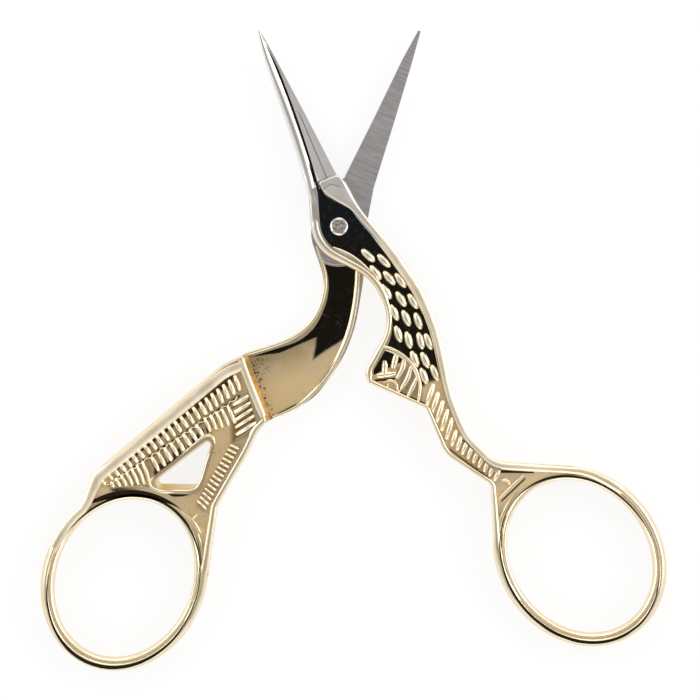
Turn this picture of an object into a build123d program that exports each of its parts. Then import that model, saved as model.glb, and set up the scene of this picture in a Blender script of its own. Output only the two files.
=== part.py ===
from build123d import *
import math
import os

# Stork embroidery scissors, about 115 mm long when closed, in millimetres.
# The pair lies flat on z = 0, open as in use. The origin is on the pivot's axis, +Z runs along that axis,
# and +Y points between the blades. Two halves cross at one screw. Closed, they make one stork, whose
# beak is the blades: each half is drawn in that closed bird's frame, with the beak along +Y, and is then
# turned by half of the opening angle. The front half is the upper layer and the back half the lower one.

# The whole pair
rest_half_angle = 22.3  # degrees that each half is turned from closed
blade_length = 34.4  # pivot to the point
shank_length = 66.0  # pivot to the level of the finger rings' centres
lamination = 2.3  # thickness of one half where the halves cross
face_gap = 0.1  # between the two ground faces
overrun = 1.0  # how far a cut runs past what it cuts

# Blades
blade_heel_width = 5.0
blade_heel_thickness = 1.9
blade_point_thickness = 0.8
blade_edge_land = 0.1  # thickness left at the cutting edge
blade_root_depth = 0.7  # how far a blade's root runs into its half
blade_shoulder = 1.2  # from the root to where the blade is as thin as its heel

# Rims, sunk panels and ornament
rim_round = 0.45
neck_round = 0.25
panel_depth = 0.55
panel_round = 0.25
boss_rim = 1.5
nape_rim = 1.35
neck_rim = 0.7
breast_rim = 1.3
breast_side_rim = 0.95
slim_rim = 0.45
leg_rim = 0.7
wing_rim = 1.6
wing_leg_rim = 1.2
step_rim = 1.1
inner_rim = 0.8
inner_relief = 0.3  # how far the neck's inner face lies below the ground face
ground_radius = 6.5  # of the ground face round the pivot
scale_length = 3.1
scale_width = 1.3
scale_rise = 0.42
barb_width = 0.4
barb_rise = 0.3
lip_width = 0.5
window_flare = 0.3  # how far the window's upper and right walls lean out to each face
sill_flare = 1.1  # and its lower wall

# Steps between the layers
step_slope = 0.8  # how far the wing's wall leans back over its height
leg_clearance = 0.35  # between the front leg's lower layer and the back neck, closed
front_taper_shares = (0.700, 0.800)  # start and end down the bird of the front leg's taper to its ring
back_taper_shares = (0.745, 0.850)

# Finger rings
ring_hole_long = 26.4
ring_hole_short = 22.0
ring_stock = 2.2
ring_thickness = 3.0
ring_round = 0.95

# Pivot screw
screw_diameter = 2.4
screw_end_diameter = 2.9
screw_end_rise = 0.2
screw_end_chamfer = 0.15
screw_head_diameter = 4.0
screw_head_height = 1.0
screw_head_sink = 0.15  # from the resting plane up to the head
screw_slot_width = 0.6
screw_slot_depth = 0.45
thread_clearance = 0.02
running_clearance = 0.05
head_clearance = 0.08

# Heights above the resting plane
back_top = lamination
front_bottom = back_top + face_gap
total_thickness = front_bottom + lamination
middle_height = total_thickness / 2
ring_bottom = middle_height - ring_thickness / 2
floor_height = total_thickness - panel_depth

# Corners of the outlines in the closed bird's frame: x, y and the round there, as shares of shank_length.
throat_shares = [
    (-0.035, 0.115, 0.0),
    (-0.0805, -0.024, 0.106),
    (0.0295, -0.1535, 0.136),
    (0.0295, -0.269, 0.1135),
]
back_throat_shares = [
    (-0.035, 0.115, 0.0),
    (-0.0805, -0.022, 0.106),
    (0.0303, -0.1485, 0.136),
    (0.0300, -0.272, 0.1135),
]
nape_shares = [
    (0.1325, -0.218, 0.39),
    (0.104, -0.0925, 0.45),
    (0.065, 0.0125, 0.30),
]
breast_shares = [(-0.076, -0.350, 0.045), (-0.080, -0.384, 0.0135), (0.029, -0.495, 0.015)]
front_leg_shares = [(0.029, -0.617, 0.076), (0.105, -0.7295, 0.018)]
front_foot_shares = [
    (0.049, -0.883, 0.0),
    (0.0665, -0.888, 0.0),
    (0.297, -0.782, 0.0),
    (0.3075, -0.763, 0.0),
]
front_nape_shares = [
    (0.138, -0.681, 0.068),
    (0.100, -0.5925, 0.15),
    (0.100, -0.488, 0.38),
    (0.1325, -0.329, 0.45),
]
front_heel_shares = [(0.0565, 0.097, 0.018), (0.0425, 0.12, 0.0)]
panel_foot_shares = [(0.150, -0.713, 0.0)]
inner_foot_shares = [(0.100, -0.488, 0.0)]
wing_edge_shares = [(-0.0895, -0.371, 0.18), (-0.1365, -0.424, 0.15), (-0.330, -0.7925, 0.038)]
wing_corner_shares = [(-0.0895, -0.371, 0.0)]
back_foot_shares = [(-0.3255, -0.877, 0.0), (0.028, -0.9165, 0.0)]
back_leg_shares = [
    (-0.0155, -0.7485, 0.050),
    (0.005, -0.600, 0.150),
    (0.0078, -0.5425, 0.050),
    (0.020, -0.5085, 0.009),
]
back_nape_shares = [(0.1055, -0.4135, 0.12), (0.132, -0.2895, 0.18)]
back_heel_shares = [(0.0425, 0.121, 0.0)]
window_shares = [(-0.185, -0.759, 0.009), (-0.091, -0.597, 0.0075), (-0.079, -0.7175, 0.015)]
step_shares = [(-0.080, -0.3875), (0.0215, -0.500)]
heel_block_shares = [
    (-0.007, 0.125, 0.0),
    (-0.0025, 0.0845, 0.020),
    (0.0415, 0.0295, 0.050),
    (0.100, -0.044, 0.0),
    (0.150, 0.060, 0.0),
    (0.060, 0.150, 0.0),
]

# Centres of the finger rings and the turn of their long axis from +Y, in degrees, in the bird's frame.
front_ring_shares = (0.2405, -0.975)
front_ring_turn = 15.6
back_ring_shares = (-0.1605, -1.0)
back_ring_turn = -2.3

# Neck scales: x, y as shares of shank_length and the turn of the long axis from +X, in degrees.
scale_shares = [
    (0.039, -0.093, -65.0),
    (0.070, -0.120, -67.0),
    (0.040, -0.139, -75.0),
    (0.066, -0.164, -72.0),
    (0.0895, -0.180, -76.0),
    (0.046, -0.192, -79.0),
    (0.073, -0.223, -80.0),
    (0.0985, -0.239, -80.0),
    (0.045, -0.247, -87.0),
    (0.067, -0.271, -88.0),
    (0.0915, -0.2885, -93.0),
    (0.034, -0.2995, -94.0),
    (0.052, -0.323, -97.0),
    (0.0785, -0.336, -97.0),
    (0.096, -0.345, -90.0),
]
lower_scale_shares = [
    (0.048, -0.372, -91.0),
    (0.071, -0.384, -88.0),
    (0.053, -0.419, -91.0),
    (0.0815, -0.4225, -88.0),
]

# Rows of raised bars. Each row runs from its first place to its last: x, y and length as shares of
# shank_length and the turn from +X in degrees. Its last value is the pitch, also a share.
wing_bar_rows_share = [
    ((-0.078, -0.4535, 0.030, -52.0), (-0.287, -0.7985, 0.022, -35.0), 0.0142),
    ((-0.074, -0.5285, 0.038, -57.0), (-0.258, -0.8050, 0.020, -40.0), 0.0142),
    ((-0.066, -0.4850, 0.050, 60.0), (-0.022, -0.5620, 0.050, 56.0), 0.0159),
    ((-0.032, -0.5950, 0.020, 0.0), (-0.052, -0.7690, 0.028, -14.0), 0.0140),
]
leg_bar_rows_share = [
    ((0.048, -0.4670, 0.051, 51.0), (0.062, -0.5900, 0.050, 48.0), 0.0260),
    ((0.0725, -0.6100, 0.037, 48.0), (0.130, -0.7160, 0.032, 38.0), 0.0175),
]
breast_bar_rows_share = [
    ((-0.0317, -0.3655, 0.044, 64.5), (-0.0011, -0.3555, 0.039, 49.0), 0.0320),
    ((0.0109, -0.3750, 0.051, 51.0), (0.0133, -0.4305, 0.063, 42.0), 0.0278),
]

# The raised arc between the scales and the breast: its start, middle and end.
breast_arc_shares = [(-0.0110, -0.3182), (0.0368, -0.3830), (0.0246, -0.4710)]

# Left and right edges of a blade from its root to its point, as shares of blade_heel_width, and the
# distances of the last three places from the pivot, as shares of blade_length.
blade_edge_shares = [(-0.44, 0.57), (-0.44, 0.56), (-0.272, 0.36), (-0.160, 0.175), (-0.040, 0.044)]
blade_station_shares = (0.570, 0.840, 1.000)

# One section of a blade from its spine: distance from the spine as a share of the width there, and height
# as a share of the thickness.
blade_profile_shares = [(0.0, 0.45), (0.07, 0.82), (0.20, 1.0), (0.30, 1.0)]

blade_root = throat_shares[0][1] * shank_length - blade_root_depth
blade_heel = blade_root + blade_shoulder
blade_stations = [blade_root, blade_heel] + [share * blade_length for share in blade_station_shares]

front_plane = Plane.XY.rotated((0, 0, rest_half_angle))
back_plane = Plane.XY.rotated((0, 0, -rest_half_angle))


def corners(shares):
    """Corners of an outline with their rounds, in millimetres."""
    return [tuple(value * shank_length for value in row) for row in shares]


def inset(outline, widths):
    """Moves each side of a closed outline inwards by its own width. Side i runs from corner i."""
    count = len(outline)
    area = sum(
        outline[i][0] * outline[(i + 1) % count][1] - outline[(i + 1) % count][0] * outline[i][1]
        for i in range(count)
    )
    turn_sign = math.copysign(1, area)
    moved = []
    for i in range(count):
        before, here, after = outline[i - 1], outline[i], outline[(i + 1) % count]
        first = Vector(here[0] - before[0], here[1] - before[1]).normalized()
        second = Vector(after[0] - here[0], after[1] - here[1]).normalized()
        side = turn_sign * (first.X * second.Y - first.Y * second.X)
        normal_1 = Vector(-first.Y, first.X) * turn_sign
        normal_2 = Vector(-second.Y, second.X) * turn_sign
        start = Vector(here[0], here[1]) + normal_1 * widths[i - 1]
        shift = Vector(here[0], here[1]) + normal_2 * widths[i] - start
        along = (shift.X * second.Y - shift.Y * second.X) / (first.X * second.Y - first.Y * second.X)
        point = start + first * along
        width = (widths[i - 1] + widths[i]) / 2
        rounding = here[2] - width if side > 0 else here[2] + width
        moved.append((point.X, point.Y, max(rounding, panel_round)))
    return moved


def rounded_outline(outline):
    """Draws a closed outline of straight runs and tangent arcs inside a BuildLine block."""
    return FilletPolyline(
        *[(x, y) for x, y, _ in outline], radius=[rounding for _, _, rounding in outline], close=True
    )


def blade_section(left, right, thickness, edge_left):
    """One section of a blade as points: across it, then up from the ground face."""
    spine, edge = (right, left) if edge_left else (left, right)
    back = [(spine + (edge - spine) * across, thickness * up) for across, up in blade_profile_shares]
    return [(spine, 0)] + back + [(edge, blade_edge_land), (edge, 0)]


def blade_thickness(distance):
    """Thickness of a blade at a distance from the pivot, falling evenly from the heel to the point."""
    if distance < blade_heel:
        return lamination
    run_share = (distance - blade_heel) / (blade_length - blade_heel)
    return blade_heel_thickness + (blade_point_thickness - blade_heel_thickness) * run_share


def outline_sketch(plane, outline):
    """A closed outline as a sketch on its own plane."""
    with BuildSketch(plane) as sketch:
        with BuildLine():
            rounded_outline(outline)
        make_face()
    return sketch.sketch


def side_plane(half_plane):
    """The plane of a half's side view: x runs along the bird's +Y and y runs up."""
    return Plane(origin=(0, 0, 0), x_dir=half_plane.y_dir, z_dir=half_plane.x_dir)


def bird_point(x_share, y_share):
    """A place in the closed bird's frame, in millimetres."""
    return (x_share * shank_length, y_share * shank_length)


def layer_sketch(half_plane, low, high, reach):
    """Side view of the layer between two heights, over the bird's +Y side of reach."""
    with BuildSketch(side_plane(half_plane)) as sketch:
        with BuildLine():
            Polyline((reach, low), (blade_length, low), (blade_length, high), (reach, high), close=True)
        make_face()
    return sketch.sketch


def taper_sketch(half_plane, taper_shares):
    """Side view of what is cut away above and below, where a leg thins evenly to its finger ring."""
    start, end = [-share * shank_length for share in taper_shares]
    far = -2 * shank_length
    ring_top, above = ring_bottom + ring_thickness, total_thickness + overrun
    upper = [(start, total_thickness), (end, ring_top), (far, ring_top), (far, above), (start, above)]
    lower = [(start, 0), (end, ring_bottom), (far, ring_bottom), (far, -overrun), (start, -overrun)]
    with BuildSketch(side_plane(half_plane)) as sketch:
        for wedge in (upper, lower):
            with BuildLine():
                Polyline(*wedge, close=True)
            make_face()
    return sketch.sketch


def bar_sketch(plane, rows):
    """Rows of slim bars on their own plane."""
    with BuildSketch(plane) as sketch:
        for row in rows:
            for x, y, turn, length in row_places(row):
                with Locations(Location((x, y, 0), (0, 0, turn))):
                    SlotOverall(length, barb_width)
    return sketch.sketch


def ring_sketch(plane, centre_share, turn, long_size, short_size):
    """An oval on its own plane, round the centre of a finger ring."""
    with BuildSketch(plane) as sketch:
        with Locations(bird_point(*centre_share)):
            Ellipse(long_size / 2, short_size / 2, rotation=90 + turn)
    return sketch.sketch


def row_places(row):
    """Places of one row of bars, in millimetres and degrees: x, y, turn and length of each."""
    start, end, pitch_share = row
    steps = max(1, round(math.hypot(end[0] - start[0], end[1] - start[1]) / pitch_share))
    places = []
    for i in range(steps + 1):
        x, y, length, turn = [a + (b - a) * i / steps for a, b in zip(start, end)]
        places.append((x * shank_length, y * shank_length, turn, length * shank_length))
    return places


# Outlines of the two halves and of the panels sunk in them
front_outline = corners(
    throat_shares
    + breast_shares
    + front_leg_shares
    + front_foot_shares
    + front_nape_shares
    + nape_shares
    + front_heel_shares
)
front_panel = inset(
    corners(
        throat_shares
        + breast_shares
        + front_leg_shares
        + panel_foot_shares
        + front_nape_shares
        + nape_shares
        + front_heel_shares[:1]
    ),
    [boss_rim, boss_rim, neck_rim, breast_rim, breast_side_rim, slim_rim, leg_rim, leg_rim, leg_rim]
    + [nape_rim] * (len(front_nape_shares) + len(nape_shares) + 1)
    + [0],
)
boss_corner_shares = [nape_shares[2][:2] + (0.0,), throat_shares[1][:2] + (0.0,)]
front_inner = inset(
    corners(
        boss_corner_shares
        + throat_shares[2:]
        + breast_shares
        + inner_foot_shares
        + front_nape_shares[3:]
        + nape_shares[:2]
    ),
    [inner_rim] * (len(throat_shares) + len(breast_shares) + len(nape_shares) + 1),
)
back_outline = corners(
    back_throat_shares
    + wing_edge_shares
    + back_foot_shares
    + back_leg_shares
    + back_nape_shares
    + nape_shares
    + back_heel_shares
)
back_panel = inset(
    back_outline,
    [boss_rim, boss_rim, neck_rim, breast_rim, wing_rim, wing_rim]
    + [leg_rim] * (len(back_foot_shares) + len(back_leg_shares))
    + [nape_rim] * (len(back_nape_shares) + len(nape_shares) + 1)
    + [boss_rim],
)
back_inner = inset(
    corners(
        boss_corner_shares
        + back_throat_shares[2:]
        + wing_corner_shares
        + back_leg_shares[-1:]
        + back_nape_shares
        + nape_shares[:2]
    ),
    [inner_rim, inner_rim, inner_rim, inner_rim, 0, slim_rim] + [inner_rim] * (len(back_nape_shares) + 2),
)
wing_panel = inset(
    corners(wing_corner_shares + wing_edge_shares[1:] + back_foot_shares + back_leg_shares),
    [wing_rim, wing_rim, leg_rim, 0, wing_leg_rim, wing_leg_rim, wing_leg_rim, leg_rim]
    + [step_slope + step_rim],
)
window = corners(window_shares)
window_mouth = inset(window, [-window_flare, -window_flare, -sill_flare])
window_lip = inset(window_mouth, [-lip_width] * len(window))
heel_block = corners(heel_block_shares)
step_left, step_right = [Vector(*bird_point(*pair)) for pair in step_shares]
leg_step = -(math.hypot(*bird_point(*back_leg_shares[-1][:2])) + leg_clearance)

# One scale of the neck: a long dome, sunk so that it stands scale_rise above the panel's floor.
with BuildPart() as scale_dome:
    with BuildSketch(Plane.XZ):
        Ellipse(scale_length / 2, scale_width / 2)
        Rectangle(scale_length, scale_width, align=(Align.CENTER, Align.MAX), mode=Mode.SUBTRACT)
    revolve(axis=Axis.X)
scale_sink = scale_width / 2 - scale_rise

# Blades: each is a loft through its stations, with the cutting edge at the ground face.
with BuildPart() as front_blade:
    for distance, (left_share, right_share) in zip(blade_stations, blade_edge_shares):
        station = Plane(
            origin=front_plane.from_local_coords((0, distance, front_bottom)),
            x_dir=front_plane.x_dir,
            z_dir=front_plane.y_dir * -1,
        )
        left, right = left_share * blade_heel_width, right_share * blade_heel_width
        with BuildSketch(station):
            with BuildLine():
                Polyline(*blade_section(left, right, blade_thickness(distance), False), close=True)
            make_face()
    loft(ruled=True)

with BuildPart() as back_blade:
    for distance, (left_share, right_share) in zip(blade_stations, blade_edge_shares):
        station = Plane(
            origin=back_plane.from_local_coords((0, distance, back_top)),
            x_dir=back_plane.x_dir,
            z_dir=back_plane.y_dir,
        )
        left, right = left_share * blade_heel_width, right_share * blade_heel_width
        with BuildSketch(station):
            with BuildLine():
                Polyline(*blade_section(left, right, blade_thickness(distance), True), close=True)
            make_face()
    loft(ruled=True)

# Finger rings
ring_sizes = (ring_hole_long + 2 * ring_stock, ring_hole_short + 2 * ring_stock)
with BuildPart() as front_ring:
    base = front_plane.offset(ring_bottom)
    extrude(ring_sketch(base, front_ring_shares, front_ring_turn, *ring_sizes), amount=ring_thickness)
    hole = ring_sketch(base, front_ring_shares, front_ring_turn, ring_hole_long, ring_hole_short)
    extrude(hole, amount=ring_thickness, mode=Mode.SUBTRACT)
    fillet(front_ring.edges().group_by(Axis.Z)[0] + front_ring.edges().group_by(Axis.Z)[-1], ring_round)

with BuildPart() as back_ring:
    base = back_plane.offset(ring_bottom)
    extrude(ring_sketch(base, back_ring_shares, back_ring_turn, *ring_sizes), amount=ring_thickness)
    hole = ring_sketch(base, back_ring_shares, back_ring_turn, ring_hole_long, ring_hole_short)
    extrude(hole, amount=ring_thickness, mode=Mode.SUBTRACT)
    fillet(back_ring.edges().group_by(Axis.Z)[0] + back_ring.edges().group_by(Axis.Z)[-1], ring_round)

# Front half: the upper layer at the neck, and the full thickness from its leg to its finger ring.
with BuildPart() as front_half:
    extrude(outline_sketch(front_plane, front_outline), amount=total_thickness)
    rims = front_half.edges().group_by(Axis.Z)
    fillet(rims[0] + rims[-1], rim_round)
    extrude(
        layer_sketch(front_plane, -overrun, front_bottom, leg_step),
        amount=shank_length, both=True, mode=Mode.SUBTRACT,
    )
    with BuildSketch(front_plane.offset(total_thickness)) as panel:
        with BuildLine():
            rounded_outline(front_panel)
        make_face()
        with BuildLine():
            rounded_outline(heel_block)
        make_face(mode=Mode.SUBTRACT)
    extrude(amount=-panel_depth, mode=Mode.SUBTRACT)
    with BuildSketch(front_plane) as leg_panel:
        with BuildLine():
            rounded_outline(front_panel)
        make_face()
        with Locations((0, leg_step - leg_rim)):
            Rectangle(shank_length, shank_length, align=(Align.CENTER, Align.MIN), mode=Mode.SUBTRACT)
    extrude(amount=panel_depth, mode=Mode.SUBTRACT)
    with BuildSketch(front_plane.offset(front_bottom)) as relief:
        with BuildLine():
            rounded_outline(front_inner)
        make_face()
        Circle(ground_radius, mode=Mode.SUBTRACT)
    extrude(amount=inner_relief, mode=Mode.SUBTRACT)
    for x, y, turn in scale_shares + lower_scale_shares:
        place = Location((*bird_point(x, y), floor_height - scale_sink), (0, 0, turn))
        add(scale_dome.part.moved(front_plane.location * place))
    bars = bar_sketch(front_plane.offset(floor_height), leg_bar_rows_share + breast_bar_rows_share)
    extrude(bars, amount=barb_rise)
    with BuildSketch(front_plane.offset(floor_height)) as breast_arc:
        with BuildLine():
            ThreePointArc(*[bird_point(x, y) for x, y in breast_arc_shares])
        trace(line_width=barb_width)
    extrude(amount=barb_rise)
    bars = bar_sketch(front_plane.offset(panel_depth), leg_bar_rows_share[1:])
    extrude(bars, amount=-barb_rise)
    extrude(taper_sketch(front_plane, front_taper_shares), amount=shank_length, both=True, mode=Mode.SUBTRACT)
    add(front_blade.part)
    add(front_ring.part)
    hole = ring_sketch(front_plane, front_ring_shares, front_ring_turn, ring_hole_long, ring_hole_short)
    extrude(hole, amount=total_thickness, mode=Mode.SUBTRACT)
    with BuildSketch(Plane.XY):
        Circle(screw_diameter / 2 + thread_clearance)
    extrude(amount=total_thickness, mode=Mode.SUBTRACT)
front_half.part.label = "front_half"

# Back half: the lower layer at the neck, and the full thickness from the wing's step to its finger ring.
step_run = (step_right - step_left).normalized()
step_in_bird = Plane(origin=step_right, x_dir=Vector(-step_run.Y, step_run.X), z_dir=step_run)
step_face = Plane(back_plane.location * step_in_bird.location)
with BuildPart() as back_half:
    extrude(outline_sketch(back_plane, back_outline), amount=total_thickness)
    rims = back_half.edges().group_by(Axis.Z)
    fillet(rims[0] + rims[-1], rim_round)
    with BuildSketch(step_face) as neck_side:
        with BuildLine():
            Polyline(
                (0, back_top),
                (-step_slope, total_thickness),
                (-step_slope, total_thickness + overrun),
                (shank_length, total_thickness + overrun),
                (shank_length, back_top),
                close=True,
            )
        make_face()
    extrude(amount=shank_length, both=True, mode=Mode.SUBTRACT)
    neck_face = back_half.faces().filter_by_position(Axis.Z, back_top - face_gap, back_top + face_gap)[0]
    step_middle = back_plane.from_local_coords((step_left + step_right) / 2 + Vector(0, 0, back_top))
    fillet(neck_face.edges().sort_by_distance(step_middle)[1:], neck_round)
    with BuildSketch(back_plane.offset(total_thickness)) as panel:
        with BuildLine():
            rounded_outline(wing_panel)
        make_face()
        with BuildLine():
            rounded_outline(window_lip)
        make_face(mode=Mode.SUBTRACT)
        add(ring_sketch(Plane.XY, back_ring_shares, back_ring_turn, *ring_sizes), mode=Mode.SUBTRACT)
    extrude(amount=-panel_depth, mode=Mode.SUBTRACT)
    with BuildSketch(back_plane) as lower_panel:
        with BuildLine():
            rounded_outline(back_panel)
        make_face()
        with BuildLine():
            rounded_outline(window_lip)
        make_face(mode=Mode.SUBTRACT)
        add(ring_sketch(Plane.XY, back_ring_shares, back_ring_turn, *ring_sizes), mode=Mode.SUBTRACT)
    extrude(amount=panel_depth, mode=Mode.SUBTRACT)
    with BuildSketch(back_plane.offset(back_top)) as relief:
        with BuildLine():
            rounded_outline(back_inner)
        make_face()
        Circle(ground_radius, mode=Mode.SUBTRACT)
    extrude(amount=-inner_relief, mode=Mode.SUBTRACT)
    for x, y, turn in scale_shares:
        place = Location((*bird_point(x, y), panel_depth + scale_sink), (0, 0, turn))
        add(scale_dome.part.moved(back_plane.location * place * Location((0, 0, 0), (180, 0, 0))))
    extrude(bar_sketch(back_plane.offset(floor_height), wing_bar_rows_share), amount=barb_rise)
    extrude(bar_sketch(back_plane.offset(panel_depth), wing_bar_rows_share), amount=-barb_rise)
    extrude(taper_sketch(back_plane, back_taper_shares), amount=shank_length, both=True, mode=Mode.SUBTRACT)
    add(back_blade.part)
    add(back_ring.part)
    hole = ring_sketch(back_plane, back_ring_shares, back_ring_turn, ring_hole_long, ring_hole_short)
    extrude(hole, amount=total_thickness, mode=Mode.SUBTRACT)
    for mouth_height in (0, total_thickness):
        with BuildSketch(back_plane.offset(middle_height)):
            with BuildLine():
                rounded_outline(window)
            make_face()
        with BuildSketch(back_plane.offset(mouth_height)):
            with BuildLine():
                rounded_outline(window_mouth)
            make_face()
        loft(ruled=True, mode=Mode.SUBTRACT)
    with BuildSketch(Plane.XY):
        Circle(screw_diameter / 2 + running_clearance)
    extrude(amount=back_top, mode=Mode.SUBTRACT)
    with BuildSketch(Plane.XY):
        Circle(screw_head_diameter / 2 + head_clearance)
    extrude(amount=screw_head_sink + screw_head_height + running_clearance, mode=Mode.SUBTRACT)
back_half.part.label = "back_half"

# Pivot screw: slotted head below, shank, and the end peened over the front half's panel.
with BuildPart() as pivot_screw:
    with BuildSketch(Plane.XY.offset(screw_head_sink)):
        Circle(screw_head_diameter / 2)
    extrude(amount=screw_head_height)
    with BuildSketch(Plane.XY.offset(screw_head_sink)):
        Rectangle(screw_head_diameter, screw_slot_width)
    extrude(amount=screw_slot_depth, mode=Mode.SUBTRACT)
    with BuildSketch(Plane.XY.offset(screw_head_sink + screw_head_height)):
        Circle(screw_diameter / 2)
    extrude(amount=floor_height - screw_head_sink - screw_head_height)
    with BuildSketch(Plane.XY.offset(floor_height)):
        Circle(screw_end_diameter / 2)
    extrude(amount=screw_end_rise)
    chamfer(pivot_screw.edges().group_by(Axis.Z)[-1], screw_end_chamfer)
pivot_screw.part.label = "pivot_screw"

os.makedirs("parts", exist_ok=True)
export_step(front_half.part, "parts/front_half.step")
export_step(back_half.part, "parts/back_half.step")
export_step(pivot_screw.part, "parts/pivot_screw.step")
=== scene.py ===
# %% [markdown]
# # Stork embroidery scissors
# The real pair is three pieces of steel: two forged halves that cross at one screw. Closed, they make
# a stork whose beak is the blades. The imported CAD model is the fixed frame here: its halves keep their
# shape, and the soft rims, feathers and finishes that a polisher's wheel leaves are built round them.

# %% The frame
import math

import bpy
from mathutils import Matrix, Vector


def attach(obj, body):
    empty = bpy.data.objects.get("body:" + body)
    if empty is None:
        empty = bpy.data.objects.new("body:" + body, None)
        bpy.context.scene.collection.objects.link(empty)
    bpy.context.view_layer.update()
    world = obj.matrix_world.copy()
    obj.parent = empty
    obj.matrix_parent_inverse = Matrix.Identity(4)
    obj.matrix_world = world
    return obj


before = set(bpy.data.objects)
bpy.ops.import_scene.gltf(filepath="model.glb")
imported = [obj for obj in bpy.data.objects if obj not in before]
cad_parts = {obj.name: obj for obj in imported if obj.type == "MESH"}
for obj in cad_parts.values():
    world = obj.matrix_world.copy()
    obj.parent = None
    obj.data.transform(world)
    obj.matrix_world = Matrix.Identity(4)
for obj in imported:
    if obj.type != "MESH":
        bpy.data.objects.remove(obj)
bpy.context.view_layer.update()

# %% [markdown]
# ## Sizes
# The outlines are drawn as in the CAD source: in the frame of the closed bird, as shares of the shank's
# length, and then turned by half of the opening angle, one way for each half. The heights are those of
# the CAD's layers, so that what is added here sits on the metal without fitting.

# %% Sizes, in metres
MM = 0.001
SHANK = 66 * MM
HALF_ANGLE = math.radians(22.3)
FRONT, BACK = 1, -1  # the way in which each half is turned
TOP = 4.7 * MM  # flat tops of the rims in CAD
CREST = TOP + 0.1 * MM  # crests of the rounded rims
FLOOR = 4.15 * MM  # floor of the panels sunk between them
RING_MIDDLE = 2.35 * MM
HOLE_LONG, HOLE_WIDE = 26.4 * MM, 22.0 * MM
print("the pair is open by", round(2 * math.degrees(HALF_ANGLE), 1), "degrees")

# %% [markdown]
# ## Places
# The real pair was looked at from straight above and from far off, so one scale turns a pixel of the
# photograph into a place, with the screw's centre as the origin. Small features are placed in pixels,
# and the long outlines in shares of the shank. A place on a finger ring is an angle and an offset.

# %% Places
PIXEL = 0.1622 * MM
SCREW = (339.0, 226.5)
FRONT_RING = ((580.1, 556.4), 127.9)  # centre as a pixel, and the turn of the long axis
BACK_RING = ((124.2, 578.2), 65.4)


def seen(px, py):
    """The place that a pixel of the photograph shows."""
    return Vector(((px - SCREW[0]) * PIXEL, (SCREW[1] - py) * PIXEL))


def place(side, x, y):
    """A point of the closed bird, in shares of the shank, as a point of the open pair."""
    c, s = math.cos(HALF_ANGLE * side), math.sin(HALF_ANGLE * side)
    return Vector((x * c - y * s, x * s + y * c)) * SHANK


def around(ring, degrees, offset):
    """A point at an angle from a finger ring's centre, an offset outside the edge of its hole."""
    centre, tilt = ring
    angle = math.radians(degrees)
    turn = angle - math.radians(tilt)
    long, wide = HOLE_LONG / 2 + offset, HOLE_WIDE / 2 + offset
    reach = 1 / math.hypot(math.cos(turn) / long, math.sin(turn) / wide)
    return seen(*centre) + Vector((math.cos(angle), math.sin(angle))) * reach


print("front ring's centre", [round(v / MM, 1) for v in seen(*FRONT_RING[0])], "mm")

# %% [markdown]
# ## Camera
# A camera close by would show the pair's sides and bend its straight lines. A long lens from far above
# shows it almost as a drawing does, as the photographer's did, and keeps both rings their true size.

# %% Camera
VIEW_WIDTH = 113.54 * MM  # what the photograph's 700 pixels span
VIEW_CENTRE = Vector((1.784 * MM, -20.03 * MM, 4 * MM))
camera_data = bpy.data.cameras.new("camera")
camera_data.sensor_width = 36
camera_data.lens = 300
camera = bpy.data.objects.new("camera", camera_data)
bpy.context.scene.collection.objects.link(camera)
distance = VIEW_WIDTH / 2 / math.tan(camera_data.angle / 2)
camera.location = VIEW_CENTRE + Vector((0, 0, distance))
camera_data.clip_start, camera_data.clip_end = 10 * MM, 10
bpy.context.scene.camera = camera
bpy.context.scene.view_settings.view_transform = "Standard"
print("camera stands", round(distance, 3), "m above the pair")

# %% [markdown]
# ## Shader maths as Python
# A material's masks are sums and products of sockets. Writing them as Python expressions keeps them
# readable: one class wraps a socket, and each operator adds the Math node that it stands for. A second
# class wraps the node tree and adds any other node from its type, its settings and its inputs.


# %% Shader helper
class Link:
    """A socket of a material that takes Python's arithmetic."""

    def __init__(self, graph, socket):
        self.graph, self.socket = graph, socket

    def math(self, operation, *values):
        inputs = dict(enumerate((self, *values)))
        return self.graph.node("ShaderNodeMath", {"operation": operation}, inputs)

    def __add__(self, other):
        return self.math("ADD", other)

    def __mul__(self, other):
        return self.math("MULTIPLY", other)

    def __sub__(self, other):
        return self.math("SUBTRACT", other)

    def __rsub__(self, other):
        return self.graph.node("ShaderNodeMath", {"operation": "SUBTRACT"}, {0: other, 1: self})

    def __truediv__(self, other):
        return self.math("DIVIDE", other)

    def __abs__(self):
        return self.math("ABSOLUTE")

    __radd__ = __add__
    __rmul__ = __mul__

    def rise(self, low, high):
        """0 below low and 1 above high, with a soft step between them; low may be above high."""
        inputs = {"Value": self, "From Min": low, "From Max": high}
        return self.graph.node("ShaderNodeMapRange", {"interpolation_type": "SMOOTHSTEP"}, inputs)

    def least(self, other):
        return self.math("MINIMUM", other)

    def most(self, other):
        return self.math("MAXIMUM", other)


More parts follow.
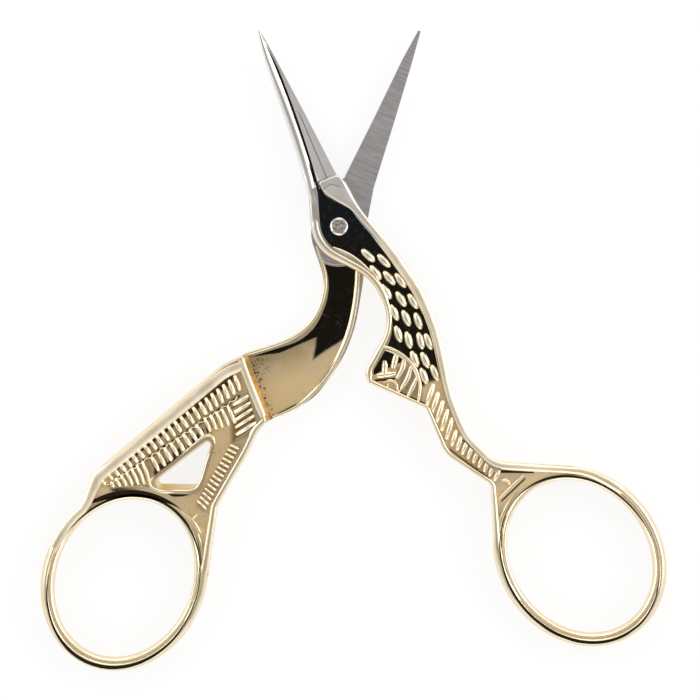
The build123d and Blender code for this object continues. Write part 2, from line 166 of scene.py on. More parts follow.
class Graph:
    """The nodes of one material or world."""

    def __init__(self, owner):
        owner.use_nodes = True
        self.tree = owner.node_tree
        self.tree.nodes.clear()

    def node(self, kind, settings=None, inputs=None, output=0):
        """Adds a node: its settings first, then the values or links of its sockets."""
        made = self.tree.nodes.new(kind)
        for name, value in (settings or {}).items():
            setattr(made, name, value)
        for name, value in (inputs or {}).items():
            if isinstance(value, Link):
                self.tree.links.new(value.socket, made.inputs[name])
            else:
                made.inputs[name].default_value = value
        return Link(self, made.outputs[output]) if made.outputs else None

    def mix(self, mask, first, second):
        """A colour between two others."""
        colours = {"Factor": mask, 6: first, 7: second}
        return self.node("ShaderNodeMix", {"data_type": "RGBA"}, colours, 2)

    def noise(self, scale, detail, vector, roughness=0.5):
        inputs = {"Scale": scale, "Detail": detail, "Vector": vector, "Roughness": roughness}
        return self.node("ShaderNodeTexNoise", None, inputs)


def finish(name):
    """A new material and its graph."""
    material = bpy.data.materials.new(name)
    return material, Graph(material)


print("a Link takes + - * / and abs(), rise(), least() and most()")

# %% [markdown]
# ## Tent and floor
# Polished metal shows its surroundings more than itself: a flat face turned up reflects what hangs over
# it, which in a studio is the dark camera, and a rounded rim reflects the white tent around. A lit
# picture of a studio could do this too, but a sky worked out from the direction stays simple: a pale
# tent with a small dark patch at its top, over a white floor that the metal sees as bright as the camera.

# %% Tent
PATCH_EDGE, PATCH_CORE = math.radians(14), math.radians(10)
CAMERA_RAY, GLOSSY_RAY, TRANSMISSION_RAY = 0, 3, 6  # outputs of the Light Path node
world = bpy.data.worlds.new("tent")
bpy.context.scene.world = world
sky = Graph(world)
direction = sky.node("ShaderNodeTexCoord")
height = sky.node("ShaderNodeSeparateXYZ", None, {0: direction}, 2)
patch = height.rise(math.cos(PATCH_EDGE), math.cos(PATCH_CORE))
tent = sky.node("ShaderNodeMapRange", {"interpolation_type": "SMOOTHSTEP"},
                {"Value": height, "From Min": 0.97, "From Max": 0.25, "To Min": 0.50, "To Max": 0.98})
tent = tent * (1 - patch * 0.97)
camera_ray = sky.node("ShaderNodeLightPath", None, None, CAMERA_RAY)
strength = sky.node("ShaderNodeMix", {"data_type": "FLOAT"}, {"Factor": camera_ray, 2: tent, 3: 1.0})
shown = sky.node("ShaderNodeBackground", None, {"Color": (1, 1, 1, 1), "Strength": strength})
sky.node("ShaderNodeOutputWorld", None, {"Surface": shown})
print("the tent's dark patch is", round(2 * math.degrees(PATCH_CORE)), "degrees wide")

# %% Floor
floor_finish, graph = finish("pale_floor")
painted = graph.node("ShaderNodeBsdfDiffuse", None, {"Color": (0.93, 0.93, 0.93, 1)})
glow = graph.node("ShaderNodeEmission", None, {"Color": (1, 1, 1, 1), "Strength": 1.0})
seen_by_camera, seen_by_gloss, seen_through = [
    graph.node("ShaderNodeLightPath", None, None, ray) for ray in (CAMERA_RAY, GLOSSY_RAY, TRANSMISSION_RAY)]
looked_at = seen_by_camera.most(seen_by_gloss).most(seen_through) * 0.85
surface = graph.node("ShaderNodeMixShader", None, {0: looked_at, 1: painted, 2: glow})
graph.node("ShaderNodeOutputMaterial", None, {"Surface": surface})

bpy.ops.object.select_all(action="DESELECT")
bpy.ops.mesh.primitive_plane_add(size=6, location=(0, 0, -0.02 * MM))
floor = bpy.context.object
floor.name = "floor"
floor.data.materials.append(floor_finish)
print("floor", [round(v, 2) for v in floor.dimensions], "m")


# %% Lamps
def softbox(name, direction, distance, size, power):
    """A square lamp that looks at the pair from a direction."""
    data = bpy.data.lights.new(name, "AREA")
    data.shape, data.size, data.energy = "SQUARE", size, power
    lamp = bpy.data.objects.new(name, data)
    bpy.context.scene.collection.objects.link(lamp)
    towards = Vector(direction).normalized()
    lamp.location = VIEW_CENTRE + towards * distance
    lamp.rotation_mode = "QUATERNION"
    lamp.rotation_quaternion = towards.to_track_quat("Z", "Y")
    print(name, power, "W from", [round(v, 2) for v in lamp.location])


softbox("lamp_right", (1.0, 0.25, 0.55), 0.7, 0.5, 2.4)
softbox("lamp_left", (-1.0, 0.45, 0.6), 0.7, 0.45, 1.4)
softbox("lamp_far", (0.1, 1.0, 0.6), 0.8, 0.5, 1.4)
softbox("lamp_near", (0.0, -1.0, 0.7), 0.8, 0.5, 1.2)

# %% [markdown]
# ## Masks on place
# Polish, wear and painted shade each have a place on the pair: the dark lines along the rims and the dark
# gaps between the bars are shade painted into the colour. They could be painted on a picture, but masks
# worked out from the surface's own place keep their edges sharp at any size. All of them are in millimetres
# of the shared frame, and the lines run between pixels of the photograph.

# %% Masks on place
OBJECT_COORDINATES = 3  # output of the Texture Coordinate node


def millimetres(graph):
    """x, y and z of the surface in millimetres, and the coordinates that they come from."""
    coordinates = graph.node("ShaderNodeTexCoord", None, None, OBJECT_COORDINATES)
    split = [graph.node("ShaderNodeSeparateXYZ", None, {0: coordinates}, axis) for axis in range(3)]
    return [axis * 1000 for axis in split], coordinates


def up_bird(x, y, side):
    """The distance up the closed bird, from the screw towards the blades' points."""
    return y * math.cos(HALF_ANGLE * side) - x * math.sin(HALF_ANGLE * side)


def beyond(x, y, first, second):
    """The distance to the left of the line from one pixel to another."""
    start, end = seen(*first) / MM, seen(*second) / MM
    run = (end - start).normalized()
    return (y - start.y) * run.x - (x - start.x) * run.y


def away(x, y, px, py):
    """The distance from the place of a pixel."""
    middle = seen(px, py) / MM
    aside, ahead = x - middle.x, y - middle.y
    return (aside * aside + ahead * ahead).math("SQRT")


def beyond_ring(x, y, ring):
    """The distance outside the edge of a finger ring's hole."""
    centre, tilt = seen(*ring[0]) / MM, math.radians(ring[1])
    u, v = x - centre.x, y - centre.y
    long = (u * math.cos(tilt) + v * math.sin(tilt)) / (HOLE_LONG / 2 / MM)
    wide = (v * math.cos(tilt) - u * math.sin(tilt)) / (HOLE_WIDE / 2 / MM)
    mean_radius = 12  # turns the share of the hole's radius back into millimetres
    return ((long * long + wide * wide).math("SQRT") - 1) * mean_radius


def near(value, middle, reach, soft):
    """1 where a value is within reach of the middle, falling to 0 over the soft width."""
    return abs(value - middle).rise(reach + soft, reach)


def between(value, low, high):
    """1 between two values, with soft ends."""
    return value.rise(low - 0.15, low + 0.15) * value.rise(high + 0.15, high - 0.15)


def shade_line(x, y, line, half_width, soft, span, middle=0.0):
    """A painted shade line: dark along the line between two pixels, over a span of x."""
    return near(beyond(x, y, *line), middle, half_width, soft) * between(x, *span)


def crescent(x, y, centre, radius, thickness, fall):
    """A sickle of painted shade: an arc round a pixel, thickest over its centre and thinner to both sides.
    """
    aside = x - seen(*centre).x / MM
    ring = abs(away(x, y, *centre) - radius)
    return (thickness - aside * aside * fall - ring).rise(-0.03, 0.08)


print("the screw's own pixel lies at", [round(v, 3) for v in seen(*SCREW)])

# %% [markdown]
# ## The metal
# The pair is plated pale gold and polished. Near the screw and on the blades it is bare steel. Every
# finish is one metal whose colour and roughness change over it. What a polisher makes flat, and what a
# grinding belt scores, only changes how it reflects, so it goes into the roughness and the normal.

# %% Metal
STEEL = (0.60, 0.57, 0.53, 1)
GOLD = (0.86, 0.70, 0.45, 1)
PALE_GOLD = (0.94, 0.84, 0.64, 1)
FLOOR_GOLD = (0.86, 0.66, 0.38, 1)
PIT_BROWN = (0.22, 0.14, 0.06, 1)
# painted shade: brown for the lines along the rims, black for the gaps between bars and the sickles
SHADE_BROWN = (0.05, 0.03, 0.012, 1)
SHADE_BLACK = (0.035, 0.022, 0.01, 1)
SATIN, POLISH = 0.34, 0.28  # roughness of the plating, and what the black polish takes from it


def metal(graph, colour, roughness, normal=None):
    """A Principled metal with the material's colour and roughness, wired to the output."""
    inputs = {"Base Color": colour, "Metallic": 1.0, "Roughness": roughness}
    if normal is not None:
        inputs["Normal"] = normal
    shader = graph.node("ShaderNodeBsdfPrincipled", None, inputs)
    graph.node("ShaderNodeOutputMaterial", None, {"Surface": shader})


def upright(graph, mask):
    """The surface's normal, turned to face straight up where the mask says: a spot polished flat."""
    own = graph.node("ShaderNodeNewGeometry", None, None, 1)
    vectors = {"Factor": mask, 4: own, 5: (0, 0, 1)}
    return graph.node("ShaderNodeMix", {"data_type": "VECTOR"}, vectors, 1)


def strokes(graph, coordinates, turn, along, across):
    """Noise drawn out to lines that run at a turn from +X, as a grinding belt leaves them."""
    inputs = {"Vector": coordinates, "Rotation": (0, 0, turn), "Scale": (1 / along, 1 / across, 1 / along)}
    drawn = graph.node("ShaderNodeMapping", {"vector_type": "TEXTURE"}, inputs)
    return graph.noise(1, 5, drawn, 0.65)


def plated(graph, y, cloud):
    """Steel at the blades and gold from the neck down, with an uneven border."""
    return graph.mix((y + (cloud - 0.5) * 3).rise(3.0, -8.0), STEEL, GOLD)


def panel_floor(z):
    """1 on the floors of the panels, 0 on the rims above them and on the walls below."""
    return z.rise(4.5, 4.2) * z.rise(3.9, 4.1)


def pitted(graph, coordinates, colour, where):
    """Small brown pits that the polishing left where the mask says."""
    pits = graph.noise(2200, 3, coordinates).rise(0.62, 0.72) * where
    return graph.mix(pits * 0.6, colour, PIT_BROWN)


def haze(graph, coordinates):
    """A faint unevenness of the black polish."""
    return graph.noise(1800, 3, coordinates).rise(0.48, 0.72) * 0.08


print("roughness of the plating", SATIN, "and of the black polish", round(SATIN - POLISH, 2))

# %% [markdown]
# ## The front half's finish
# Its boss and its scaled neck are polished so flat that they turn black under the dark camera. Lower down,
# the panel's floor is satin gold; the dark lines along its edges and a brown fan between the breast's
# feathers are painted shade. The flat tops near the blades carry a painted highlight. The blade was ground
# on its right, up to a line that bows from the shoulder to the point.


# %% Front half's finish
def foot_shade_line(x, y):
    """A painted shade line over the front foot, where the nape's rim parts from the finger ring."""
    return shade_line(x, y, ((500, 471.3), (535, 471.7)), 0.2, 0.1, (26.2, 31.6))


def front_shade_lines(x, y, cloud):
    """Painted shade lines along the front half's ledge, breast, leg, nape and fork, where rims meet the
    floor.
    """
    ledge = shade_line(x, y, ((375, 380.5), (396, 378.5)), 0.13, 0.1, (5.8, 9.1))
    breast = shade_line(x, y, ((384, 386.0), (428, 406.0)), 0.16, 0.12, (8.5, 14.3), 0.05)
    leg = shade_line(x, y, ((452, 451.0), (489, 479.0)), 0.1, 0.12, (18.0, 24.2))
    nape = shade_line(x, y, ((462, 439.5), (500, 468.8)), 0.08, 0.12, (19.8, 26.2))
    fork = shade_line(x, y, ((501, 501.5), (525, 478.5)), 0.1, 0.1, (26.3, 30.2))
    shade_lines = ledge.most(breast * cloud.rise(0.44, 0.54)).most(leg * 0.8).most(nape * 0.8).most(fork * 0.9)
    return shade_lines.most(foot_shade_line(x, y))


def beyond_bevel(x, y):
    """The distance to the right of the line where the blade's bevel meets its rounded spine."""
    low, high = seen(315.5, 180) / MM, seen(273.5, 60) / MM
    lean = (high.x - low.x) / (high.y - low.y)
    bow = 0.0034  # how far the line swells to the right between its ends
    return x - ((y - low.y) * lean + low.x + (y - low.y) * (high.y - y) * bow)


def front_finish():
    """Steel blade with a ground bevel, black mirror floors at the boss and neck, satin gold lower down."""
    material, graph = finish("front_gilt")
    (x, y, z), coordinates = millimetres(graph)
    grain, cloud = graph.noise(900, 3, coordinates), graph.noise(180, 2, coordinates)
    colour = plated(graph, y, cloud)
    # painted highlight: the flat tops near the blades are painted a brighter, paler steel
    lit_tops = z.rise(4.6, 4.68) * y.rise(-4.0, 0.0)
    colour = graph.mix(lit_tops, colour, (0.92, 0.85, 0.76, 1))
    scales = z.rise(4.2, 4.3) * z.rise(4.68, 4.64) * y.rise(-27.0, -25.0) * x.rise(2.5, 3.0)
    colour = graph.mix(scales, colour, (0.83, 0.76, 0.61, 1))

    outside_breast = away(x, y, 382, 385).rise(6.2, 6.5)
    corner = beyond(x, y, (376, 374), (410, 358)).rise(-0.1, 0.15)
    above_leg = (up_bird(x, y, FRONT) + (cloud - 0.5) * 2).rise(-29.6, -28.6)
    mirror = panel_floor(z) * above_leg * outside_breast.most(corner)
    colour = graph.mix(mirror, colour, (0.62, 0.55, 0.38, 1))
    colour = graph.mix(mirror * y.rise(-6.0, 1.0), colour, (0.52, 0.60, 0.64, 1))
    satin_floor = panel_floor(z) * (1 - mirror)
    colour = pitted(graph, coordinates, graph.mix(satin_floor, colour, FLOOR_GOLD), satin_floor)
    # painted shade: dark lines along the edges of the rims
    colour = graph.mix(front_shade_lines(x, y, cloud) * z.rise(3.8, 3.9), colour, SHADE_BROWN)
    # painted shade: a brown fan on the floor between the breast's feathers
    fan_shade = shade_line(x, y, ((404, 382), (414, 384)), 1.9, 0.6, (9.4, 12.9)) * satin_floor
    colour = graph.mix(fan_shade * 0.45, colour, (0.16, 0.10, 0.045, 1))

    bevel = beyond_bevel(x, y)
    spine = bevel.rise(-0.1, -0.25) * y.rise(5.0, 7.0)
    colour = graph.mix(spine, colour, (0.68, 0.655, 0.62, 1))
    belt = strokes(graph, coordinates, -1.25, 500, 6000)
    blade = beyond(x, y, (318, 190), (345, 179)).rise(-0.1, 0.4) * bevel.rise(-0.15, 0.1)
    colour = graph.mix(blade, colour, graph.mix(belt, (0.16, 0.155, 0.145, 1), (0.24, 0.23, 0.215, 1)))
    fuller = near(bevel, 0.0, 0.16, 0.1) * y.rise(4.2, 5.0) * y.rise(31.0, 29.0) * z.rise(2.6, 2.9)
    thin_line = near(beyond(x, y, (329.5, 184), (297, 108)), 0.0, 0.035, 0.09)
    thin_line = thin_line * y.rise(6.6, 7.2) * y.rise(19.5, 17.5)
    colour = graph.mix(thin_line * 0.75, colour, (0.03, 0.03, 0.03, 1))
    roughness = SATIN + blade * 0.04 - mirror.most(fuller) * POLISH + (grain - 0.5) * 0.05
    roughness = roughness + satin_floor * 0.14 + mirror * haze(graph, coordinates)
    metal(graph, colour, roughness, upright(graph, fuller))
    print(material.name, len(graph.tree.nodes), "nodes")
    return material


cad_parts["front_half"].data.materials.clear()
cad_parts["front_half"].data.materials.append(front_finish())

# %% [markdown]
# ## The back half's finish
# The wing's bars stand close together; the gaps between them are painted black and the floor behind them
# brown, as painted shade. The neck runs from black polish at the boss to worn gold at the step, with pits
# along the step's foot, and the step's wall is painted orange-brown as a painted reflection of the gold. The
# ground face round the screw and on the blade is bare steel, scored across by the belt, with a painted
# highlight along the boss's rim. Gaps and pits are too narrow to model one by one, so each is a mask along a
# line.

# %% Wing
WING_BROW = (100, 478), (239, 371)
WINDOW_SILL = (154, 474), (206, 433)


def foot_sickle(x, y):
    """A sickle of painted shade in the groove between the back foot and its finger ring."""
    sickle = crescent(x, y, (130.6, 582.5), 14.46, 0.62, 0.0086) * y.rise(-50.0, -46.0)
    return sickle * beyond_ring(x, y, BACK_RING).rise(0.15, 0.3)


def wing_gaps(x, y, ragged):
    """Painted shade in the gaps between the bars: along the brow, the quill, the window's sill and the heel.
    """
    brow = beyond(x, y, *WING_BROW) + ragged
    quill = beyond(x, y, (105, 487), (240, 396)) + ragged
    sill = beyond(x, y, *WINDOW_SILL) + ragged
    heel = beyond(x, y, (100, 491), (150, 488)) + ragged
    gaps = brow.rise(-0.95, -0.65) * between(x, -36.0, -17.2)
    gaps = gaps.most(near(quill, 0.0, 0.16, 0.14) * between(x, -37.5, -16.0))
    gaps = gaps.most(sill.rise(0.95, 0.6) * sill.rise(-0.4, -0.2) * between(x, -30.0, -21.2))
    under_heel = heel.rise(0.45, 0.2) * heel.rise(-0.3, -0.1)
    return gaps.most(under_heel * x.rise(-37.6, -36.4) * x.rise(-30.2, -30.8))


def wing_painted_shade(x, y):
    """How much brown shade is painted behind the bars: most in the fan, less in the comb and the long rows.
    """
    fan_shade = beyond(x, y, (229, 405), (248.5, 392)).rise(0.2, -0.1) * x.rise(-18.0, -17.0)
    fan_shade = fan_shade * beyond(x, y, (233, 442), (252, 430)).rise(-0.6, 0.2)
    fan_shade = fan_shade * beyond(x, y, (250, 395), (260, 420)).rise(-0.1, -0.5)
    comb = near(beyond(x, y, (201, 506), (235, 447)), 0.0, 0.5, 0.6)
    comb = comb * y.rise(-45.5, -43.0) * y.rise(-34.5, -36.2)
    rows = beyond(x, y, *WING_BROW).rise(0.0, -0.3) * beyond(x, y, *WINDOW_SILL).rise(-0.2, 0.2)
    rows = rows * x.rise(-37.5, -35.5) * x.rise(-15.0, -16.5)
    return (fan_shade * 0.8).most(comb * 0.55).most(rows * 0.4)


print("the wing's brow is", round((seen(*WING_BROW[1]) - seen(*WING_BROW[0])).length / MM, 1), "mm long")


# %% Neck
def neck_worn(x, y, cloud):
    """The lower left of the back neck, where the black polish is worn to satin gold."""
    wobble = (cloud - 0.5) * 0.8
    low = (beyond(x, y, (312, 359.5), (345, 336)) + wobble).rise(0.35, -0.35)
    left = (beyond(x, y, (313, 359), (318, 330)) + wobble).rise(-0.35, 0.35)
    band = beyond(x, y, (248, 357.5), (280, 353)).least(beyond(x, y, (280, 353), (313, 338.5)))
    return low.most(left) * (1 - band.rise(-0.15, 0.2)) * y.rise(-16.0, -18.5)


def nape_shade_line(x, y):
    """A painted shade line inside the nape's rim, finer towards its upper end."""
    lower = shade_line(x, y, ((277, 415.0), (300, 402.9)), 0.12, 0.1, (-10.0, -6.4))
    upper = near(beyond(x, y, (300, 402.9), (315, 390.6)), 0.0, 0.06, 0.1)
    return lower.most(upper * x.rise(-6.5, -6.2) * x.rise(-3.9, -5.5))


def worn_gold(graph, x, y, cloud):
    """The worn gold's hue: darker at the step's upper end, with paler clouds."""
    glow = beyond(x, y, (250, 380), (330, 350)).rise(3.5, -3.0)
    hue = graph.mix(glow, (0.46, 0.35, 0.19, 1), (0.92, 0.68, 0.36, 1))
    return graph.mix(cloud.rise(0.42, 0.62) * 0.5, hue, (0.80, 0.66, 0.46, 1))


def scored_steel(graph, coordinates, rim):
    """Bare steel that the belt scored across, with a painted highlight along the boss's rim."""
    belt = strokes(graph, coordinates, -HALF_ANGLE, 260, 9000)
    steel = graph.mix(belt.rise(0.25, 0.75), (0.34, 0.32, 0.315, 1), (0.66, 0.62, 0.61, 1))
    return graph.mix(rim, steel, (0.9, 0.88, 0.84, 1))


def back_finish():
    """A cross-ground blade and boss, a neck from black polish to satin gold, a dull gold wing."""
    material, graph = finish("back_gilt")
    (x, y, z), coordinates = millimetres(graph)
    grain, cloud = graph.noise(900, 3, coordinates), graph.noise(180, 2, coordinates)
    floors = panel_floor(z)
    colour = graph.mix(floors, plated(graph, y, cloud), FLOOR_GOLD)
    # painted shade: a dark sickle under the window's lip, and one between the foot and its ring
    under_window = crescent(x, y, (176.5, 434.2), 9.9, 0.26, 0.019) * y.rise(-41.0, -42.5)
    sickles = (foot_sickle(x, y) * z.rise(3.8, 3.9)).most(under_window * floors)
    ragged = (graph.noise(1500, 2, coordinates) - 0.5) * 0.5
    # painted shade: brown on the floor behind the bars
    colour = graph.mix(wing_painted_shade(x, y) * floors, colour, (0.20, 0.125, 0.055, 1))
    # painted shade: black in the gaps between the bars and in the sickles
    colour = graph.mix((wing_gaps(x, y, ragged) * floors * 0.92).most(sickles), colour, SHADE_BLACK)
    colour = pitted(graph, coordinates, colour, floors)

    neck = z.rise(2.15, 2.05) * z.rise(1.9, 1.95)
    worn = neck * neck_worn(x, y, cloud)
    mirror = neck * (1 - neck_worn(x, y, cloud))
    colour = graph.mix(worn, colour, worn_gold(graph, x, y, cloud))
    step = beyond(x, y, (250, 362), (267, 408))
    step_foot = near(step, 0.3, 0.3, 0.5).most(near(step, 0.9, 0.6, 2.2) * y.rise(-25.0, -22.0) * 0.75)
    step_pits = graph.noise(2600, 4, coordinates).rise(0.53, 0.60) * step_foot * neck
    colour = graph.mix(step_pits * 0.85, colour, (0.07, 0.04, 0.02, 1))
    # painted shade: a dark line inside the nape's rim
    colour = graph.mix(nape_shade_line(x, y) * 0.9, colour, SHADE_BROWN)

    radius = away(x, y, *SCREW)
    blade = beyond(x, y, (300, 262), (380, 250)).rise(-0.1, 0.1)
    ground = z.rise(2.25, 2.28) * z.rise(2.45, 2.4) * radius.rise(6.65, 6.6).most(blade)
    # painted highlight: a thin bright line along the edge of the boss's ground face
    boss_rim_highlight = near(radius, 6.2, 0.03, 0.08) * (1 - blade)
    colour = graph.mix(ground, colour, scored_steel(graph, coordinates, boss_rim_highlight))
    colour = graph.mix(mirror, colour, (0.55, 0.45, 0.30, 1))
    # painted reflection: the step's wall is painted orange-brown for the gold that it reflects
    wall_reflection = z.rise(2.2, 2.4) * z.rise(4.55, 4.4) * near(step, -0.2, 0.7, 0.2) * y.rise(-18.0, -20.0)
    colour = graph.mix(wall_reflection * 0.8, colour, (0.44, 0.27, 0.09, 1))
    scratch = near(beyond(x, y, (321, 312.5), (347, 328.5)), 0.0, 0.02, 0.12) * mirror * 0.13
    scratch = scratch * grain.rise(0.35, 0.6)
    roughness = SATIN + ground * 0.1 - mirror * POLISH + scratch + (floors + worn) * 0.12
    roughness = roughness + (grain - 0.5) * 0.05 + mirror * haze(graph, coordinates)
    metal(graph, colour, roughness)
    print(material.name, len(graph.tree.nodes), "nodes")
    return material


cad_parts["back_half"].data.materials.clear()
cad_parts["back_half"].data.materials.append(back_finish())

# %% [markdown]
# ## The screw's steel
# The screw is bare steel with a fine, even grain. Nothing on it needs a place, so noise alone serves.

# %% Screw's steel
screw_finish, graph = finish("screw_steel")
coordinates = millimetres(graph)[1]
brushed = graph.noise(2500, 3, coordinates)
brushed_colour = graph.mix(brushed, (0.40, 0.37, 0.33, 1), (0.62, 0.58, 0.54, 1))
metal(graph, brushed_colour, 0.25 + brushed * 0.15)
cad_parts["pivot_screw"].data.materials.clear()
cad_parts["pivot_screw"].data.materials.append(screw_finish)
print(screw_finish.name, len(graph.tree.nodes), "nodes")

# %% [markdown]
# ## The rims' finishes
# The rims that the wheel reached are bright pale gold. Between a ring's two ridges the metal faces the dark
# camera, which draws a line near the hole at the ring's top and near its outer side at the bottom; a mask
# turns the normal up along that line. Along the ring's groove the gold is darkened with painted shade, and
# the sickle under the back foot is painted black as shade. The broad rims at the nape and the wing stayed
# satin.

# %% Rims' finishes
RIM_STEEL = (0.80, 0.77, 0.72, 1)


def ring_shade(x, y, ring, lean, ragged):
    """The dark line between a ring's ridges, broadest at the ring's top and bottom."""
    centre = seen(*ring[0]) / MM
    upwards = (x - centre.x) * lean + (y - centre.y)
    outwards = beyond_ring(x, y, ring)
    reach = upwards * upwards * 0.0009 + 0.05
    line = (reach + 0.14 - abs(outwards + upwards * 0.036 + ragged - 1.05)).rise(0.0, 0.16)
    return line * outwards.rise(0.26, 0.42)


def polished_rim():
    """Bright gold beads, steel-coloured near the screw, with the rings' dark lines and painted shade in the
    groove and the foot's sickle.
    """
    material, graph = finish("rim_gilt")
    (x, y, _), coordinates = millimetres(graph)
    cloud = graph.noise(300, 3, coordinates)
    ragged = (cloud - 0.5) * 0.2
    front_line = ring_shade(x, y, FRONT_RING, 0.4, ragged) * x.rise(10.0, 12.0)
    back_line = ring_shade(x, y, BACK_RING, 0.1, ragged) * x.rise(-10.0, -12.0)
    dark_lines = front_line.most(back_line).most(foot_shade_line(x, y))
    tone = graph.mix(cloud.rise(0.35, 0.65), (0.90, 0.77, 0.54, 1), PALE_GOLD)
    tone = graph.mix(y.rise(2.0, -7.0), RIM_STEEL, tone)
    # painted shade: brown along the ring's groove, and black in the sickle under the back foot
    groove_shade = near(beyond_ring(x, y, FRONT_RING).least(beyond_ring(x, y, BACK_RING)), 1.3, 0.3, 0.6)
    tone = graph.mix(groove_shade * 0.25, tone, (0.50, 0.36, 0.17, 1))
    tone = graph.mix(foot_sickle(x, y), tone, SHADE_BLACK)
    metal(graph, tone, SATIN + (cloud - 0.5) * 0.08 - dark_lines * 0.24, upright(graph, dark_lines))
    print(material.name, len(graph.tree.nodes), "nodes")
    return material


def satin_rim():
    """Dull gold beads for the nape and the wing, a little brighter where they run out on the rings."""
    material, graph = finish("satin_gilt")
    (x, y, _), coordinates = millimetres(graph)
    cloud = graph.noise(240, 3, coordinates)
    tone = graph.mix(cloud.rise(0.35, 0.65), (0.84, 0.72, 0.53, 1), (0.93, 0.83, 0.64, 1))
    run_off = (y.rise(-47.0, -53.0) * x.rise(-20.0, -24.0)).most(x.rise(33.0, 40.0))
    tone = graph.mix(run_off, tone, (0.90, 0.78, 0.55, 1))
    tone = graph.mix(y.rise(2.0, -7.0), (0.80, 0.76, 0.70, 1), tone)
    metal(graph, tone, 0.46 + (cloud - 0.5) * 0.1 - run_off * 0.1)
    print(material.name, len(graph.tree.nodes), "nodes")
    return material


rim_finish, satin_finish = polished_rim(), satin_rim()

# %% [markdown]
# ## Beads
# The forging die leaves a rounded rim round each panel. In CAD the rim is flat on top; here a bead of
# elliptical section runs along it. A bevelled cube could be bent along the outline, but a curve with its
# own section, thickness and height at each station follows it with far less work.


# %% Beads
def as_mesh(name, data):
    """Turns a curve into a mesh object, which is then the active one."""
    curve = bpy.data.objects.new(name, data)
    bpy.context.scene.collection.objects.link(curve)
    bpy.ops.object.select_all(action="DESELECT")
    bpy.context.view_layer.objects.active = curve
    curve.select_set(True)
    bpy.ops.object.convert(target="MESH")
    return bpy.context.object


def close_seams(sharp_angle):
    """Merges the doubles at the active mesh's seams and smooths all but its sharp edges."""
    bpy.ops.object.mode_set(mode="EDIT")
    bpy.ops.mesh.select_all(action="SELECT")
    bpy.ops.mesh.remove_doubles(threshold=0.002 * MM)
    bpy.ops.mesh.normals_make_consistent(inside=False)
    bpy.ops.object.mode_set(mode="OBJECT")
    bpy.ops.object.shade_smooth_by_angle(angle=math.radians(sharp_angle))


def bead_section(flatness, keel):
    """The ellipse that a bead sweeps; its lowest point is drawn down by the keel, in half widths."""
    bpy.ops.object.select_all(action="DESELECT")
    bpy.ops.curve.primitive_bezier_circle_add(radius=1)
    section = bpy.context.object
    section.scale = (1, flatness, 1)
    bpy.ops.object.transform_apply(location=False, rotation=False, scale=True)
    section.data.resolution_u = 6
    if keel > 0:
        lowest = min(section.data.splines[0].bezier_points, key=lambda point: point.co.y)
        drop = Vector((0, -keel, 0))
        lowest.handle_left_type = lowest.handle_right_type = "FREE"
        lowest.co, lowest.handle_left, lowest.handle_right = [
            at + drop for at in (lowest.co, lowest.handle_left, lowest.handle_right)]
    return section


def bead(name, stations, flatness, body, closed=False, smooth=True, surface=rim_finish, ground=None):
    """Sweeps an ellipse along stations and lets it ride on a body.

    A station is a place, a half width and the height of the crest. flatness is the ellipse's height over
    its width. Where ground is a height, a keel under the bead reaches down to it.
    """
    keel = 0
    if ground is not None:
        keel = max((crest - ground) / half for _, half, crest in stations) - 2 * flatness
    section = bead_section(flatness, keel)
    data = bpy.data.curves.new(name, "CURVE")
    data.dimensions, data.twist_mode = "3D", "Z_UP"
    spline = data.splines.new("BEZIER" if smooth else "POLY")
    points = spline.bezier_points if smooth else spline.points
    points.add(len(stations) - 1)
    for point, (at, half, crest) in zip(points, stations):
        centre = (at.x, at.y, crest - flatness * half)
        point.co = centre if smooth else (*centre, 1)
        if smooth:
            point.handle_left_type = point.handle_right_type = "AUTO"
        point.radius = half
    spline.use_cyclic_u = closed
    data.bevel_mode, data.bevel_object, data.use_fill_caps = "OBJECT", section, True
    data.resolution_u = 8
    made = as_mesh(name, data)
    close_seams(50)
    bpy.data.objects.remove(section)
    made.data.materials.append(surface)
    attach(made, body)
    print(name, len(made.data.polygons), "faces")


# %% [markdown]
# ## Rounded rims
# A rim's line is the outline's, drawn inwards by half of the rim's width at each corner, so that its
# outer side stays on the outline while its width changes. Where a half grows into its finger ring, the
# rim carries on round the ring and sinks into its outer ridge.

# %% Rim lines
ARC_STEP = math.radians(6)


def drawn_inwards(corners):
    """The corners moved to the middle of the rim: point, rounding and half width."""
    points = [Vector((x, y)) for x, y, _, _ in corners]
    moved = []
    for i, (_, _, rounding, width) in enumerate(corners):
        before, after = points[max(i - 1, 0)], points[min(i + 1, len(points) - 1)]
        first = (points[i] - before).normalized() if i else (after - points[i]).normalized()
        second = (after - points[i]).normalized() if after != points[i] else first
        inward_1, inward_2 = Vector((-first.y, first.x)), Vector((-second.y, second.x))
        middle = (inward_1 + inward_2).normalized()
        reach = width / 2 / max(middle.dot(inward_1), 0.2)
        turns_left = first.cross(second) > 0
        inner_rounding = rounding - width / 2 if turns_left else rounding + width / 2
        moved.append((points[i] + middle * reach, max(inner_rounding, 0.0), width / 2))
    return moved


def bead_line(corners):
    """Centre line of a rim, with its corners rounded off: point and half width.

    A corner is x, y, rounding and rim width in shares of the shank, with the inside on the left.
    """
    moved = drawn_inwards(corners)
    line = []
    for i, (point, rounding, half_width) in enumerate(moved):
        if i in (0, len(moved) - 1) or rounding <= 0:
            line.append((point, half_width))
            continue
        first = (point - moved[i - 1][0]).normalized()
        second = (moved[i + 1][0] - point).normalized()
        angle = first.angle(second)
        reach = rounding * math.tan(angle / 2)
        turn = 1 if first.cross(second) > 0 else -1
        centre = point - first * reach + Vector((-first.y, first.x)) * rounding * turn
        spoke = point - first * reach - centre
        steps = max(2, int(angle / ARC_STEP) + 1)
        for k in range(steps + 1):
            line.append((centre + Matrix.Rotation(turn * angle * k / steps, 2) @ spoke, half_width))
    return line


